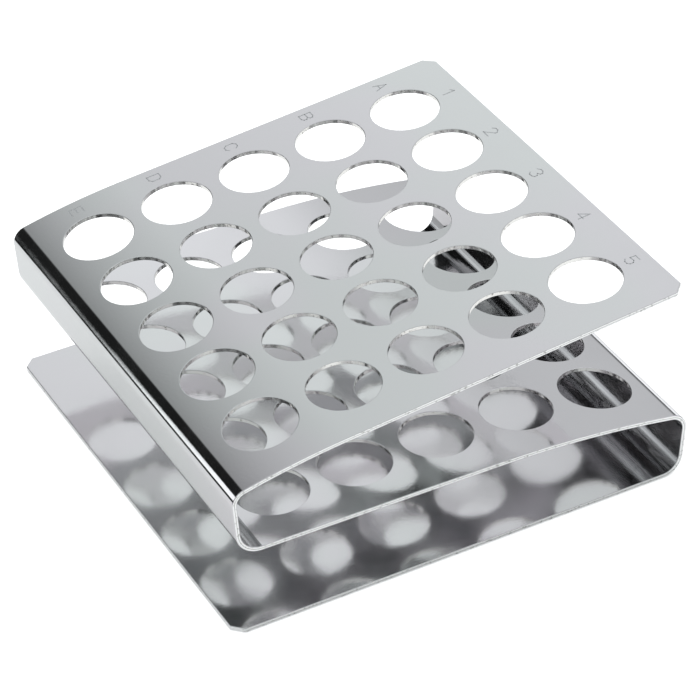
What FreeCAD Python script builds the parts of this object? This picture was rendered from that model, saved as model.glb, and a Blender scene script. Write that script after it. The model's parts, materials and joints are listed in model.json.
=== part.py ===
# Test tube rack: one stainless sheet folded into a base, a middle shelf and a top shelf.
#
# The sheet starts at the free left end of the base, turns up at the right, comes back as the
# middle shelf, turns up again at the left and runs out as the top shelf. Each flat and each bend
# is a sub-part of its own, and they meet face to face on the bend lines.
#
# X runs along the length, with the free end of the top shelf at +X. Y runs across the sheet, with
# the column letters at +Y. Z is up. The origin is under the middle of the bounding box.
import FreeCAD, Part
import math
import os

import Sketcher

Vector, Rotation, Placement = FreeCAD.Vector, FreeCAD.Rotation, FreeCAD.Placement
doc = FreeCAD.newDocument("test_tube_rack")

# ---------------------------------------------------------------- driving dimensions, mm and deg
DIMENSIONS = {
    "sheet_gauge": (1.2, "thickness of the sheet"),
    "rack_depth": (122, "width of the sheet, along Y"),
    "corner_clip": (2.6, "clipped corners of the two free ends"),
    "base_flat": (117.5, "base, from its free end to the first bend"),
    "right_lower_angle": (85.5, "bend from the base into the right web"),
    "right_lower_radius": (5.15, "its radius at mid gauge, like every radius here"),
    "right_web_flat": (7.8, "flat of the right web"),
    "right_upper_angle": (83.7, "bend from the right web into the middle shelf"),
    "right_upper_radius": (4.4, ""),
    "middle_sweep_angle": (10.1, "soft curve at the right of the middle shelf"),
    "middle_sweep_radius": (276, ""),
    "middle_flat": (63.3, "flat of the middle shelf"),
    "left_lower_angle": (85.8, "bend from the middle shelf into the left web"),
    "left_lower_radius": (6.1, ""),
    "left_web_flat": (8.6, "flat of the left web"),
    "left_upper_angle": (79.8, "bend from the left web into the top shelf"),
    "left_upper_radius": (3.4, ""),
    "top_sweep_angle": (8, "soft curve at the left of the top shelf"),
    "top_sweep_radius": (198, ""),
    "top_flat": (91.1, "flat of the top shelf, to its free end"),
    "hole_diameter": (18, "tube holes"),
    "hole_pitch": (22, "from hole to hole, both ways"),
    "hole_count": (5, "holes along each side of the grid"),
    "tube_lean": (5.7, "lean of the tube axes from upright, towards -X"),
    "first_column": (21.45, "first column's axis from the base's free end, at table height"),
}

sheet = doc.addObject("Spreadsheet::Sheet", "Dims")
for number, (alias, (value, note)) in enumerate(DIMENSIONS.items(), start=1):
    sheet.set(f"A{number}", alias)
    sheet.set(f"B{number}", str(value))
    sheet.setAlias(f"B{number}", alias)
    sheet.set(f"C{number}", note)
doc.recompute()


def dim(alias):
    """The value in a named cell."""
    return float(sheet.get(alias))


def cell(alias):
    """A named cell as it is written in an expression."""
    return f"{sheet.Name}.{alias}"


def mm(alias):
    """A named cell as a length in an expression."""
    return f"{cell(alias)} * 1 mm"


# ---------------------------------------------------------------- sketch helpers
def origin_plane(body, role):
    """One of the body's own origin planes, such as XZ_Plane."""
    return next(f for f in body.Origin.OriginFeatures if f.Role == role)


def add_sketch(body, label, role="XZ_Plane"):
    """A sketch on one of the body's origin planes."""
    sketch = body.newObject("Sketcher::SketchObject", f"{body.Name}_{label}")
    sketch.AttachmentSupport = [(origin_plane(body, role), "")]
    sketch.MapMode = "FlatFace"
    return sketch


def add_line(sketch, start, end):
    """A straight line from start to end; returns its index."""
    return sketch.addGeometry(Part.LineSegment(Vector(*start), Vector(*end)), False)


def join(sketch, *ends):
    """Makes pairs of line or arc ends coincide; each end is (geometry, point)."""
    for one, other in zip(ends[::2], ends[1::2]):
        sketch.addConstraint(Sketcher.Constraint("Coincident", *one, *other))


def drive(sketch, kind, *references, expression):
    """Adds a dimension whose value is an expression on the sheet's cells."""
    value = sheet.evalExpression(expression)
    if isinstance(value, FreeCAD.Units.Quantity):
        is_angle = value.Unit == FreeCAD.Units.Angle
        value = math.radians(value.Value) if is_angle else value.Value
    index = sketch.addConstraint(Sketcher.Constraint(kind, *references, value))
    sketch.setExpression(f"Constraints[{index}]", expression)


START, END, CENTRE = 1, 2, 3
ORIGIN, X_AXIS, Y_AXIS = (-1, 1), -1, -2
FITS = 1e-6


def flat_profile(body, length):
    """Section of a flat: a rectangle that starts at the body's origin and runs along its X."""
    sketch = add_sketch(body, "section")
    reach, half = dim(length), dim("sheet_gauge") / 2
    corners = [(0, -half), (reach, -half), (reach, half), (0, half)]
    under, tip, over, root = (
        add_line(sketch, corners[i], corners[(i + 1) % 4]) for i in range(4)
    )
    join(sketch, (under, END), (tip, START), (tip, END), (over, START))
    join(sketch, (over, END), (root, START), (root, END), (under, START))
    for edge, kind in ((under, "Horizontal"), (over, "Horizontal"), (tip, "Vertical")):
        sketch.addConstraint(Sketcher.Constraint(kind, edge))
    sketch.addConstraint(Sketcher.Constraint("Symmetric", root, START, root, END, *ORIGIN))
    drive(sketch, "DistanceX", under, START, under, END, expression=cell(length))
    drive(sketch, "DistanceY", tip, START, tip, END, expression=cell("sheet_gauge"))
    return sketch


def bend_profile(body, stem, sense, flat=None):
    """Section of a bend, and of the flat that follows it in the same sub-part.

    The section starts at the body's origin and turns towards its +Z (sense 1) or -Z (sense -1).
    """
    sketch = add_sketch(body, "section")
    radius, angle, half = dim(f"{stem}_radius"), dim(f"{stem}_angle"), dim("sheet_gauge") / 2
    turn = math.radians(angle)
    centre = Vector(0, sense * radius)
    onward = Vector(math.cos(turn), sense * math.sin(turn))
    outward = Vector(math.sin(turn), -sense * math.cos(turn))
    first, last = (START, END) if sense > 0 else (END, START)
    sweep = (-math.pi / 2, turn - math.pi / 2) if sense > 0 else (math.pi / 2 - turn, math.pi / 2)

    arcs = []
    for size in (radius + half, radius - half):
        circle = Part.Circle(centre, Vector(0, 0, 1), size)
        arcs.append(sketch.addGeometry(Part.ArcOfCircle(circle, *sweep), False))
    outer, inner = arcs
    root = add_line(sketch, (0, sense * half), (0, -sense * half))
    join(sketch, (root, START), (inner, first), (root, END), (outer, first))
    join(sketch, (inner, CENTRE), (outer, CENTRE))
    sketch.addConstraint(Sketcher.Constraint("PointOnObject", outer, CENTRE, Y_AXIS))
    sketch.addConstraint(Sketcher.Constraint("Vertical", root))
    sketch.addConstraint(Sketcher.Constraint("Symmetric", root, START, root, END, *ORIGIN))
    gauge, mid = cell("sheet_gauge"), cell(f"{stem}_radius")
    drive(sketch, "Radius", outer, expression=f"{mid} + {gauge} / 2")
    drive(sketch, "Radius", inner, expression=f"{mid} - {gauge} / 2")

    near_in, near_out = (centre + outward * size for size in (radius - half, radius + half))
    if flat:
        far_in, far_out = near_in + onward * dim(flat), near_out + onward * dim(flat)
        run_in, run_out = add_line(sketch, near_in, far_in), add_line(sketch, near_out, far_out)
        tip = add_line(sketch, far_in, far_out)
        sketch.addConstraint(Sketcher.Constraint("Tangent", inner, last, run_in, START))
        sketch.addConstraint(Sketcher.Constraint("Tangent", outer, last, run_out, START))
        join(sketch, (run_in, END), (tip, START), (run_out, END), (tip, END))
        sketch.addConstraint(Sketcher.Constraint("Perpendicular", tip, run_in))
        drive(sketch, "Distance", run_in, START, run_in, END, expression=cell(flat))
    else:
        tip = add_line(sketch, near_in, near_out)
        join(sketch, (tip, START), (inner, last), (tip, END), (outer, last))
        sketch.addConstraint(Sketcher.Constraint("PointOnObject", inner, CENTRE, tip))
    lines = (root, START, tip, START) if sense > 0 else (tip, START, root, START)
    drive(sketch, "Angle", *lines, expression=f"{cell(stem + '_angle')} * 1 deg")
    return sketch


# ---------------------------------------------------------------- solid features
def pad_across(body, sketch):
    """Pads a section over the whole depth of the rack, both ways from the middle."""
    pad = body.newObject("PartDesign::Pad", f"{body.Name}_pad")
    pad.Profile = sketch
    pad.SideType = "Symmetric"
    pad.setExpression("Length", cell("rack_depth"))


def clip_corners(body, is_free_end):
    """Chamfers the two short edges of a free end; is_free_end tells it by its place in X."""
    doc.recompute()
    solid = body.Tip
    edges = [
        f"Edge{number}"
        for number, edge in enumerate(solid.Shape.Edges, start=1)
        if abs(edge.Length - dim("sheet_gauge")) < FITS and is_free_end(edge.CenterOfMass.x)
    ]
    chamfer = body.newObject("PartDesign::Chamfer", f"{body.Name}_clips")
    chamfer.Base = (solid, edges)
    chamfer.setExpression("Size", cell("corner_clip"))


def drill_tubes(body, stretch):
    """Drills the grid of tube holes through a shelf, along the leaning tube axes.

    The sketch lies square to the tube axes, through the point where the first column's middle
    axis meets the table, so both shelves are drilled on the same lines. Its X runs along the
    rack's Y, and its Y runs back against the columns.
    """
    sketch = add_sketch(body, "tube_grid", "YZ_Plane")
    way = stretch.heading
    turn = f"({way} - {cell('tube_lean')} * 1 deg - 90 deg)"
    along = f"({mm('first_column')} - {RACK_HALF} - ({stretch.x}))"
    down = f"({stretch.z})"
    lean = Rotation(Vector(1, 0, 0), sheet.evalExpression(turn).Value)
    sketch.AttachmentOffset = Placement(Vector(), lean)
    offset = "AttachmentOffset"
    sketch.setExpression(f"{offset}.Rotation.Angle", turn)
    sketch.setExpression(f"{offset}.Base.z", f"{along} * cos({way}) - {down} * sin({way})")
    sketch.setExpression(f"{offset}.Base.y", f"-{along} * sin({way}) - {down} * cos({way})")

    reach = dim("hole_pitch") * (dim("hole_count") - 1) / 2
    circle = Part.Circle(Vector(-reach, 0), Vector(0, 0, 1), dim("hole_diameter") / 2)
    hole = sketch.addGeometry(circle, False)
    sketch.addConstraint(Sketcher.Constraint("PointOnObject", hole, CENTRE, X_AXIS))
    drive(sketch, "Diameter", hole, expression=cell("hole_diameter"))
    rows = f"{cell('hole_pitch')} * ({cell('hole_count')} - 1) / 2"
    drive(sketch, "DistanceX", hole, CENTRE, *ORIGIN, expression=rows)

    pocket = body.newObject("PartDesign::Pocket", f"{body.Name}_first_hole")
    pocket.Profile = sketch
    pocket.Type = "ThroughAll"
    pocket.SideType = "Symmetric"
    grid = body.newObject("PartDesign::MultiTransform", f"{body.Name}_holes")
    grid.Originals = [pocket]
    runs = []
    for axis in ("H_Axis", "V_Axis"):
        run = body.newObject("PartDesign::LinearPattern", f"{body.Name}_holes_{axis[0]}")
        run.Direction = (sketch, [axis])
        run.Reversed = axis == "V_Axis"
        run.setExpression("Length", f"{cell('hole_pitch')} * ({cell('hole_count')} - 1)")
        run.setExpression("Occurrences", cell("hole_count"))
        runs.append(run)
    grid.Transformations = runs
    body.Tip = grid


# ---------------------------------------------------------------- the path of the sheet
class Stretch:
    """One sub-part's place on the path, as expressions: where it starts, and its heading."""

    def __init__(self, name, stem, flat, sense, x, z, heading):
        self.name, self.stem, self.flat, self.sense = name, stem, flat, sense
        self.x, self.z, self.heading = x, z, heading

    def end(self):
        """Where the next stretch starts."""
        x, z, way = self.x, self.z, self.heading
        if self.stem:
            sign = "+" if self.sense > 0 else "-"
            after = f"{way} {sign} {cell(self.stem + '_angle')} * 1 deg"
            radius = mm(self.stem + "_radius")
            x = f"{x} {sign} {radius} * (sin({after}) - sin({way}))"
            z = f"{z} {sign} {radius} * (cos({way}) - cos({after}))"
            way = after
        if self.flat:
            x = f"{x} + {mm(self.flat)} * cos({way})"
            z = f"{z} + {mm(self.flat)} * sin({way})"
        return x, z, way


FIRST_TURN = f"({cell('right_lower_angle')} * 1 deg)"
RACK_HALF = (
    f"({mm('base_flat')} + {mm('right_lower_radius')} * sin({FIRST_TURN})"
    f" + {mm('right_web_flat')} * cos({FIRST_TURN})"
    f" + {mm('right_upper_radius')} * (1 - sin({FIRST_TURN})) + {mm('sheet_gauge')} / 2) / 2"
)
SHEET_ORDER = [
    # sub-part, bend, flat, turn: 1 to the left of the path, -1 to the right
    ("base_plate", None, "base_flat", 0),
    ("right_lower_bend", "right_lower", None, 1),
    ("right_web", None, "right_web_flat", 0),
    ("right_upper_bend", "right_upper", None, 1),
    ("middle_shelf", "middle_sweep", "middle_flat", 1),
    ("left_lower_bend", "left_lower", None, -1),
    ("left_web", None, "left_web_flat", 0),
    ("left_upper_bend", "left_upper", None, -1),
    ("top_shelf", "top_sweep", "top_flat", -1),
]


def build_stretch(stretch):
    """Makes one sub-part's body, padded across the rack and placed on the path."""
    body = doc.addObject("PartDesign::Body", stretch.name)
    body.Label = stretch.name
    if stretch.stem:
        section = bend_profile(body, stretch.stem, stretch.sense, stretch.flat)
    else:
        section = flat_profile(body, stretch.flat)
    pad_across(body, section)
    heading = sheet.evalExpression(stretch.heading).Value
    body.Placement = Placement(Vector(), Rotation(Vector(0, -1, 0), heading))
    body.setExpression("Placement.Base.x", stretch.x)
    body.setExpression("Placement.Base.z", stretch.z)
    if heading:
        body.setExpression("Placement.Rotation.Angle", stretch.heading)
    return body


bodies = {}
stretches = {}
start = (f"-{RACK_HALF}", f"{mm('sheet_gauge')} / 2", "0 deg")
for name, stem, flat, sense in SHEET_ORDER:
    stretch = Stretch(name, stem, flat, sense, *start)
    bodies[name], stretches[name] = build_stretch(stretch), stretch
    start = stretch.end()

clip_corners(bodies["base_plate"], lambda x: x < FITS)
clip_corners(bodies["top_shelf"], lambda x: x > dim("top_flat"))
for name in ("middle_shelf", "top_shelf"):
    drill_tubes(bodies[name], stretches[name])
doc.recompute()

# ---------------------------------------------------------------- checks and files
for thing in doc.Objects:
    bad = {"Invalid", "Error"} & set(thing.State)
    if bad:
        raise RuntimeError(f"{thing.Label} is {thing.State}: {thing.getStatusString()}")

os.makedirs("parts", exist_ok=True)
for name, body in bodies.items():
    shape = body.Shape
    if shape.isNull() or not shape.isValid() or len(shape.Solids) != 1:
        raise RuntimeError(f"{name} is not one valid solid")
    shape.exportStep(f"parts/{name}.step")
    print(f"{name}: {len(shape.Faces)} faces, {shape.Volume:.1f} mm3")
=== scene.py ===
"""Test tube rack: one polished stainless sheet, folded into a base and two drilled shelves.

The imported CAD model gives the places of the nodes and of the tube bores. Each node is shown by a
skin of its own: the sheet's true path, its broken edges and its drilled walls, worked out with
numpy, with exact normals so that the polish reflects cleanly across the fold lines.
"""

import json
import logging
import math
from dataclasses import dataclass, field
from enum import Enum
from functools import reduce

import bpy
import numpy as np
from mathutils import Matrix, Vector


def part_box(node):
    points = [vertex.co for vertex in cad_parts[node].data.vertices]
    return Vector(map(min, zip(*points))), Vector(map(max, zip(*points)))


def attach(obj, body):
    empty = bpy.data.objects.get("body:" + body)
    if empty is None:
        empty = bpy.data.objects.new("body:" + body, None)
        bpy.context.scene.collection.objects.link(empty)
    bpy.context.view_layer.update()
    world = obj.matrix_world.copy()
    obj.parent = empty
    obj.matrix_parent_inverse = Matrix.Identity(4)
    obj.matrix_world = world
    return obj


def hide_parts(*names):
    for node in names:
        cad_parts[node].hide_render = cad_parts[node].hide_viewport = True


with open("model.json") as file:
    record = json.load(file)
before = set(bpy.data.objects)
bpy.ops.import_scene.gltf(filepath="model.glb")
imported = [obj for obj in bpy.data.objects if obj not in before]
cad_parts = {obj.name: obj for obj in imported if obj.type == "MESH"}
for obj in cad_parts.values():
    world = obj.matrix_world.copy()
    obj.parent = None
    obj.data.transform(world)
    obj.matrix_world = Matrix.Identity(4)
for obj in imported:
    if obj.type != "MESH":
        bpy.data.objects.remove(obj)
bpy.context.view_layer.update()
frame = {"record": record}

log = logging.getLogger("test_tube_rack")
MM = 0.001
WELD = 1e-7  # metres; corners closer than this are one corner
SLIDES = 12  # rounds of Newton's rule, which settles in four or five


# ---------------------------------------------------------------- the path of the sheet
@dataclass(frozen=True)
class Stretch:
    """One node's run of the sheet: a bend, and the flat that follows it.

    Attributes:
        node: name of the CAD node, which the skin is named after.
        radius: radius of the bend at mid gauge, in mm; 0 for no bend.
        turn: angle of the bend in degrees, positive to the left of the path.
        flat: length of the flat after the bend, in mm.
        free_end: which end is a free end with clipped corners, "start", "end" or "".
    """

    node: str
    radius: float = 0.0
    turn: float = 0.0
    flat: float = 0.0
    free_end: str = ""


@dataclass(frozen=True)
class Folds:
    """The bends and flats of the sheet, in mm and degrees, from the base to the top shelf."""

    right_lower: Stretch = Stretch("right_lower_bend", 5.15, 85.5)
    right_web: Stretch = Stretch("right_web", flat=7.8)
    right_upper: Stretch = Stretch("right_upper_bend", 4.4, 83.7)
    middle: Stretch = Stretch("middle_shelf", 276.0, 10.1, 63.3)
    left_lower: Stretch = Stretch("left_lower_bend", 6.1, -85.8)
    left_web: Stretch = Stretch("left_web", flat=8.6)
    left_upper: Stretch = Stretch("left_upper_bend", 3.4, -79.8)
    top: Stretch = Stretch("top_shelf", 198.0, -8.0, 91.1, "end")

    def in_order(self, base_length: float) -> list[Stretch]:
        """Every stretch along the path.

        Args:
            base_length: length of the base's flat, in mm.

        Returns:
            The stretches, starting with the base plate.
        """
        base = Stretch("base_plate", flat=base_length, free_end="start")
        return [base, self.right_lower, self.right_web, self.right_upper, self.middle,
                self.left_lower, self.left_web, self.left_upper, self.top]


class Run:
    """A stretch laid in place: it turns distance along the sheet into a place and a heading."""

    def __init__(self, stretch: Stretch, start: np.ndarray, heading: float,
                 begin: float) -> None:
        """Lays the stretch.

        Args:
            stretch: the run's sizes.
            start: (x, z) where it starts, at mid gauge, in metres.
            heading: its heading there, in radians from +X towards +Z.
            begin: how far along the blank it starts, in metres.
        """
        self.stretch = stretch
        self.begin = begin
        self.start = np.asarray(start, float)
        self.heading = heading
        self.turn = math.radians(stretch.turn)
        self.sense = 1.0 if stretch.turn >= 0 else -1.0
        self.radius = stretch.radius * MM
        self.arc = self.radius * abs(self.turn)
        self.length = self.arc + stretch.flat * MM

    def at(self, along: np.ndarray) -> tuple[np.ndarray, np.ndarray, np.ndarray]:
        """Places on the mid gauge line: an arc of the bend's radius, then a straight line.

        Args:
            along: distances from the start, in metres.

        Returns:
            x, z and heading arrays.
        """
        along = np.asarray(along, float)
        bent = np.clip(along, 0.0, self.arc)
        straight = along - bent
        way = self.heading + (self.sense * bent / self.radius if self.radius else 0.0 * bent)
        lever = self.sense * self.radius
        x = self.start[0] + lever * (np.sin(way) - math.sin(self.heading))
        z = self.start[1] - lever * (np.cos(way) - math.cos(self.heading))
        return x + straight * np.cos(way), z + straight * np.sin(way), way

    def skin(self, along: np.ndarray, across: np.ndarray, out: np.ndarray) -> np.ndarray:
        """Points off the mid gauge line: the place along the path plus out times its normal.

        Args:
            along: distances along the path.
            across: distances across the sheet, which is Y.
            out: distances to the left of the path.

        Returns:
            An (n, 3) array of points.
        """
        x, z, way = self.at(along)
        return np.stack([x - out * np.sin(way), across + 0.0 * x, z + out * np.cos(way)], -1)

    def turned(self, along: np.ndarray, vectors: np.ndarray) -> np.ndarray:
        """Vectors given as (along, across, out) of the sheet, turned into X, Y and Z."""
        way = self.at(along)[2]
        c, s = np.cos(way), np.sin(way)
        a, b, n = vectors[..., 0], vectors[..., 1], vectors[..., 2]
        return np.stack([a * c - n * s, b, a * s + n * c], -1)

    def unrolled(self, x: np.ndarray, z: np.ndarray) -> tuple[np.ndarray, np.ndarray]:
        """The reverse of at(): how far along a point lies, and how far off the mid gauge line.

        On the bend, the angle about its centre gives the first and the distance from its centre
        the second. On the flat, both are plain projections.

        Args:
            x: X of the points.
            z: Z of the points.

        Returns:
            Arrays of distance along, and distance out to the left.
        """
        ends = self.at(np.array([self.arc]))
        ex, ez, way = (float(v[0]) for v in ends)
        flat_along = (x - ex) * math.cos(way) + (z - ez) * math.sin(way)
        flat_out = -(x - ex) * math.sin(way) + (z - ez) * math.cos(way)
        if not self.radius:
            return flat_along + self.arc, flat_out
        lever = self.sense * self.radius
        cx = self.start[0] - lever * math.sin(self.heading)
        cz = self.start[1] + lever * math.cos(self.heading)
        reach = np.hypot(x - cx, z - cz)
        angle = np.arctan2(self.sense * (x - cx), -self.sense * (z - cz)) - self.heading
        angle = (angle + math.pi) % (2 * math.pi) - math.pi
        bent_along = self.radius * self.sense * angle
        bent_out = self.sense * (self.radius - reach)
        on_flat = flat_along > 0
        return (np.where(on_flat, flat_along + self.arc, bent_along),
                np.where(on_flat, flat_out, bent_out))


def lay_path(gauge: float) -> dict[str, Run]:
    """Lays every stretch end to end from the free end of the base.

    Args:
        gauge: thickness of the sheet, in metres.

    Returns:
        Node name to its run.
    """
    low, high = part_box("base_plate")
    point, heading, begin = np.array([low.x, gauge / 2]), 0.0, 0.0
    runs: dict[str, Run] = {}
    for stretch in Folds().in_order((high.x - low.x) / MM):
        run = Run(stretch, point, heading, begin)
        runs[stretch.node] = run
        begin += run.length
        x, z, way = run.at(np.array([run.length]))
        point, heading = np.array([x[0], z[0]]), float(way[0])
        fit = max(abs(a - b) for a, b in zip(_reach(run, gauge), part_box(stretch.node)[1].xz))
        log.info("%s: laid %.1f mm of sheet, within %.3f mm of its CAD box",
                 stretch.node, run.length / MM, fit / MM)
    return runs


def _reach(run: Run, gauge: float) -> tuple[float, float]:
    """The largest X and Z that a run of this gauge reaches."""
    along = np.linspace(0.0, run.length, 400)
    points = np.concatenate([run.skin(along, 0.0, side * gauge / 2) for side in (-1, 1)])
    return float(points[:, 0].max()), float(points[:, 2].max())


# ---------------------------------------------------------------- meshes
class Face(Enum):
    """The finishes that one skin carries, in the order of its material slots.

    They are the polish, sheared edges, the walls of drilled holes and the insides of bends, which
    carry painted shade.
    """

    POLISH = 0
    CUT = 1
    DRILLED = 2
    INSIDE = 3


@dataclass
class Patchwork:
    """Collects patches of corners and quads, then welds them into one mesh.

    Attributes:
        points: corner places, one array per patch.
        normals: exact normals of the surface at the corners.
        unrolled: (along, across) of each corner on the flat blank, for the UV map.
        quads: four corner numbers each.
        finishes: the Face of each quad.
        flat_normals: the one normal of each quad on a flat cap, or zeros to use the corners' own.
        count: corners added so far.
    """

    points: list[np.ndarray] = field(default_factory=list)
    normals: list[np.ndarray] = field(default_factory=list)
    unrolled: list[np.ndarray] = field(default_factory=list)
    quads: list[np.ndarray] = field(default_factory=list)
    finishes: list[np.ndarray] = field(default_factory=list)
    flat_normals: list[np.ndarray] = field(default_factory=list)
    count: int = 0

    def add(self, points: np.ndarray, normals: np.ndarray, unrolled: np.ndarray) -> np.ndarray:
        """Adds corners.

        Args:
            points: (..., 3) places.
            normals: (..., 3) normals of any length.
            unrolled: (..., 2) places on the blank.

        Returns:
            The corner numbers, in the shape of the points' leading axes.
        """
        shape = points.shape[:-1]
        size = int(np.prod(shape))
        self.points.append(points.reshape(size, 3))
        length = np.linalg.norm(normals, axis=-1, keepdims=True)
        self.normals.append((normals / length).reshape(size, 3))
        self.unrolled.append(unrolled.reshape(size, 2))
        numbers = np.arange(self.count, self.count + size).reshape(shape)
        self.count += size
        return numbers

    def grid(self, numbers: np.ndarray, finish: Face, flip: bool = False,
             normal: np.ndarray | None = None) -> None:
        """Joins a grid of corner numbers with quads.

        Args:
            numbers: (rows, columns) corner numbers.
            finish: the finish of the quads.
            flip: turn the quads over.
            normal: one normal for all of them, for a flat cap; None to use the corners' own.
        """
        a, b = numbers[:-1, :-1], numbers[1:, :-1]
        c, d = numbers[1:, 1:], numbers[:-1, 1:]
        quads = np.stack([a, b, c, d], -1).reshape(-1, 4)
        self.loose(quads[:, ::-1] if flip else quads, finish, normal)

    def loose(self, quads: np.ndarray, finish: Face, normal: np.ndarray | None = None) -> None:
        """Adds quads one by one.

        Args:
            quads: (n, 4) corner numbers, anticlockwise seen from outside.
            finish: the finish of the quads.
            normal: one normal for all of them, or None to use the corners' own.
        """
        self.quads.append(quads)
        self.finishes.append(np.full(len(quads), finish.value))
        plain = np.zeros(3) if normal is None else normal
        self.flat_normals.append(np.tile(plain, (len(quads), 1)))

    def mesh(self, name: str) -> bpy.types.Mesh:
        """Welds corners that coincide, drops collapsed quads and makes the mesh.

        Args:
            name: name of the mesh.

        Returns:
            The mesh, with its UV map, custom normals and material numbers.
        """
        points, normals = np.concatenate(self.points), np.concatenate(self.normals)
        unrolled, quads = np.concatenate(self.unrolled), np.concatenate(self.quads)
        finishes, flats = np.concatenate(self.finishes), np.concatenate(self.flat_normals)
        used, quads = np.unique(quads, return_inverse=True)
        quads = quads.reshape(-1, 4)
        points, normals, unrolled = points[used], normals[used], unrolled[used]
        keys = np.round(points / WELD + 0.37).astype(np.int64)
        _, first, same = np.unique(keys, axis=0, return_index=True, return_inverse=True)
        welded = same.reshape(-1)[quads]
        shapes = np.sort(welded, axis=1)
        whole = (shapes[:, 1:] != shapes[:, :-1]).all(axis=1)
        welded, quads, finishes, flats = (v[whole] for v in (welded, quads, finishes, flats))

        mesh = bpy.data.meshes.new(name)
        mesh.from_pydata(points[first].tolist(), [], welded.tolist())
        mesh.polygons.foreach_set("material_index", finishes.astype(np.int32))
        mesh.polygons.foreach_set("use_smooth", np.ones(len(welded), bool))
        layer = mesh.uv_layers.new(name="blank")
        layer.uv.foreach_set("vector", unrolled[quads].astype(np.float32).ravel())
        corner_normals = np.where(np.abs(flats[:, None]).sum(-1, keepdims=True) > 0,
                                  flats[:, None], normals[quads])
        mesh.update()
        mesh.normals_split_custom_set(corner_normals.reshape(-1, 3).tolist())
        return mesh


@dataclass(frozen=True)
class EdgeWork:
    """How the sheet's edges are broken.

    Attributes:
        radius: radius of the broken edge, in mm.
        steps: quads round each broken edge.
        corner_clip: size of the clipped corners of a free end, in mm.
        corner_soften: how far each side of a clipped corner the turn is spread, in mm.
    """

    radius: float = 0.16
    steps: int = 4
    corner_clip: float = 2.6
    corner_soften: float = 0.35

    def turns(self) -> np.ndarray:
        """Angles of the rows round a broken edge, from the face to the wall."""
        return np.linspace(0.0, math.pi / 2, self.steps + 1)


@dataclass(frozen=True)
class TubeHoles:
    """The grid of tube holes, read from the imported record's bores.

    Attributes:
        axis: unit vector of the tube axes.
        radius: radius of the holes, in metres.
        places: a point on each column's middle axis, (x, z), from the leftmost column.
        rows: the rows' Y, from the lowest.
        segments: quads round each hole; a multiple of eight.
        rings: how the quads between a hole and its cell's border are spaced.
    """

    axis: np.ndarray
    radius: float
    places: np.ndarray
    rows: np.ndarray
    segments: int = 96
    rings: tuple[float, ...] = (0.0, 0.1, 0.36, 1.0)

    @classmethod
    def from_record(cls, record: dict) -> "TubeHoles":
        """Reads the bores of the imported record.

        Args:
            record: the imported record.

        Returns:
            The grid of holes.
        """
        bores = [m for m in record["mounts"] if m["kind"] == "bore"]
        axis = np.array(bores[0]["axis"], float)
        axis /= np.linalg.norm(axis)
        spots = np.array([m["pos_m"] for m in bores], float)
        rows = np.unique(np.round(spots[:, 1], 6))
        middle = spots[np.abs(spots[:, 1] - rows[len(rows) // 2]) < 1e-6]
        middle = middle[np.argsort(middle[:, 0])]
        return cls(axis, bores[0]["dims"]["r_mm"] * MM, middle[:, [0, 2]], rows)


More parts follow.
